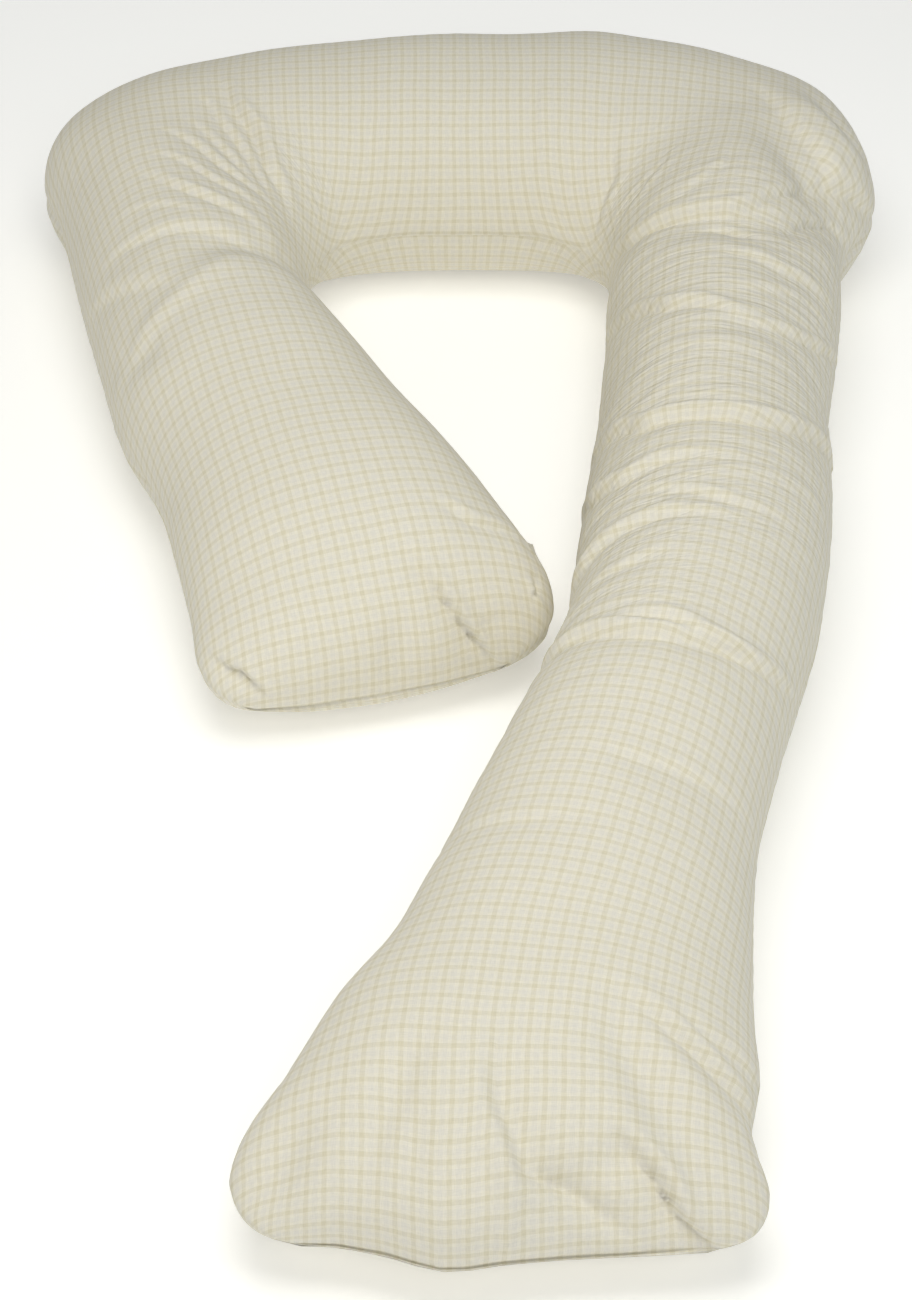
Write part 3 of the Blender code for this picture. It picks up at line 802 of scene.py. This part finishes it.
REPEAT = 0.0127
TAN = (0.657, 0.614, 0.470, 1.0)
GREY = (0.711, 0.687, 0.618, 1.0)
CREAM = (0.759, 0.726, 0.623, 1.0)
TAN_END, FIRST_LINE_END, GREY_END = 0.28, 0.49, 0.79  # where each band ends, as a share of the repeat
BAND_EDGE = 0.03  # how soft the bands' edges are
SLUB_LENGTH = 0.006  # thick places in a yarn, along it
SLUB_BREADTH = 0.0007  # and across it
SLUB_RANGE = (0.6, 1.4)  # the noise of both sets of yarns added, from thin to thick
SLUB_SHADES = (0.94, 1.06)  # how much they darken or lighten the cloth
SLUB_ROUGHNESS = (0.95, 0.82)
THREAD = 0.0005  # spacing of the yarns, for their relief
THREAD_RELIEF = 0.00004
PUCKER_LENGTH = 0.045  # fine puckers of slack cloth, across the pillow
PUCKER_PITCH = 0.0075  # and along it
PUCKER_RELIEF = 0.0035
NOISE_MIDDLE = 0.5  # a pucker's valley lies where its noise crosses this
COTTON_GLOSS = 0.25
COTTON_SHEEN = 0.05
SHEEN_ROUGHNESS = 0.5

cotton = bpy.data.materials.new("check_cotton")
cotton.use_nodes = True
nodes, links = cotton.node_tree.nodes, cotton.node_tree.links
shader = nodes["Principled BSDF"]


def yarn_bands():
    """The group that gives the yarn's colour from the distance across the bands."""
    group = bpy.data.node_groups.new("yarn_bands", "ShaderNodeTree")
    group.interface.new_socket("Distance", in_out="INPUT", socket_type="NodeSocketFloat")
    group.interface.new_socket("Repeat", in_out="INPUT", socket_type="NodeSocketFloat")
    group.interface.new_socket("Color", in_out="OUTPUT", socket_type="NodeSocketColor")
    start = group.nodes.new("NodeGroupInput")
    end = group.nodes.new("NodeGroupOutput")
    repeats = group.nodes.new("ShaderNodeMath")
    repeats.operation = "DIVIDE"
    group.links.new(start.outputs["Distance"], repeats.inputs[0])
    group.links.new(start.outputs["Repeat"], repeats.inputs[1])
    share = group.nodes.new("ShaderNodeMath")
    share.operation = "FRACT"
    group.links.new(repeats.outputs[0], share.inputs[0])
    ramp = group.nodes.new("ShaderNodeValToRGB")
    stops = [(0.0, CREAM), (BAND_EDGE, TAN), (TAN_END, TAN), (TAN_END + BAND_EDGE, CREAM),
             (FIRST_LINE_END, CREAM), (FIRST_LINE_END + BAND_EDGE, GREY),
             (GREY_END, GREY), (GREY_END + BAND_EDGE, CREAM)]
    while len(ramp.color_ramp.elements) < len(stops):
        ramp.color_ramp.elements.new(1.0)
    for element, (place, colour) in zip(ramp.color_ramp.elements, stops):
        element.position, element.color = place, colour
    group.links.new(share.outputs[0], ramp.inputs[0])
    group.links.new(ramp.outputs["Color"], end.inputs["Color"])
    return group


def placed(kind, **settings):
    """A new node of the cotton, with its settings."""
    node = nodes.new(kind)
    for name, value in settings.items():
        setattr(node, name, value)
    return node


def noise_over(cloth_map, pitch_x, pitch_y, detail):
    """Noise over one of the cloth's maps, with its own pitch in metres in the two directions."""
    scaled = placed("ShaderNodeVectorMath", operation="MULTIPLY")
    scaled.inputs[1].default_value = (1 / pitch_x, 1 / pitch_y, 1.0)
    links.new(cloth_map.outputs["UV"], scaled.inputs[0])
    texture = placed("ShaderNodeTexNoise", noise_dimensions="2D")
    texture.inputs["Scale"].default_value = 1.0
    texture.inputs["Detail"].default_value = detail
    links.new(scaled.outputs["Vector"], texture.inputs["Vector"])
    return texture.outputs["Fac"]


def ranged(value, low, high, to_low, to_high):
    """A value between two limits, brought between two others."""
    node = placed("ShaderNodeMapRange")
    for name, number in zip(("From Min", "From Max", "To Min", "To Max"), (low, high, to_low, to_high)):
        node.inputs[name].default_value = number
    links.new(value, node.inputs["Value"])
    return node.outputs["Result"]


def calculated(operation, first, second):
    """The result of a Math node on two values, each a number or a socket."""
    node = placed("ShaderNodeMath", operation=operation)
    for socket, value in zip(node.inputs, (first, second)):
        if isinstance(value, float):
            socket.default_value = value
        else:
            links.new(value, socket)
    return node.outputs["Value"]


bands = yarn_bands()
grain_map = placed("ShaderNodeUVMap", uv_map="cloth_grain")
run_map = placed("ShaderNodeUVMap", uv_map="cloth_run")
slack_map = placed("ShaderNodeUVMap", uv_map="cloth_slack")
split = placed("ShaderNodeSeparateXYZ")
links.new(grain_map.outputs["UV"], split.inputs[0])
warp_yarn = placed("ShaderNodeGroup", node_tree=bands)
weft_yarn = placed("ShaderNodeGroup", node_tree=bands)
for yarn, axis in ((warp_yarn, "X"), (weft_yarn, "Y")):
    links.new(split.outputs[axis], yarn.inputs["Distance"])
    yarn.inputs["Repeat"].default_value = REPEAT
crossing = placed("ShaderNodeMix", data_type="RGBA")
crossing.inputs["Factor"].default_value = 0.5
links.new(warp_yarn.outputs["Color"], crossing.inputs["A"])
links.new(weft_yarn.outputs["Color"], crossing.inputs["B"])

# uneven yarn: darker and lighter streaks along both sets of threads
warp_slubs = noise_over(grain_map, SLUB_BREADTH, SLUB_LENGTH, 2.0)
weft_slubs = noise_over(grain_map, SLUB_LENGTH, SLUB_BREADTH, 2.0)
slubs = calculated("ADD", warp_slubs, weft_slubs)
mottled = placed("ShaderNodeMix", data_type="RGBA", blend_type="MULTIPLY")
mottled.inputs["Factor"].default_value = 1.0
links.new(crossing.outputs["Result"], mottled.inputs["A"])
links.new(ranged(slubs, *SLUB_RANGE, *SLUB_SHADES), mottled.inputs["B"])
links.new(mottled.outputs["Result"], shader.inputs["Base Color"])
links.new(ranged(slubs, *SLUB_RANGE, *SLUB_ROUGHNESS), shader.inputs["Roughness"])

# relief: the threads of the weave, the slubs, and the puckers of slack cloth with their sharp valleys
slack_split = placed("ShaderNodeSeparateXYZ")
links.new(slack_map.outputs["UV"], slack_split.inputs[0])
threads = noise_over(grain_map, THREAD, THREAD, 1.0)
thread_height = calculated("MULTIPLY", calculated("ADD", threads, slubs), THREAD_RELIEF)
puckers = noise_over(run_map, PUCKER_PITCH, PUCKER_LENGTH, 1.0)
valleys = calculated("ABSOLUTE", calculated("SUBTRACT", puckers, NOISE_MIDDLE), 0.0)
pucker_depth = calculated("MULTIPLY", slack_split.outputs["X"], PUCKER_RELIEF)
pucker_height = calculated("MULTIPLY", valleys, pucker_depth)
relief = placed("ShaderNodeBump")
relief.inputs["Distance"].default_value = 1.0
links.new(calculated("ADD", thread_height, pucker_height), relief.inputs["Height"])
links.new(relief.outputs["Normal"], shader.inputs["Normal"])
shader.inputs["Specular IOR Level"].default_value = COTTON_GLOSS
shader.inputs["Sheen Weight"].default_value = COTTON_SHEEN
shader.inputs["Sheen Roughness"].default_value = SHEEN_ROUGHNESS
cover.materials.append(cotton)

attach(pillow, "root")
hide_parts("pillow")
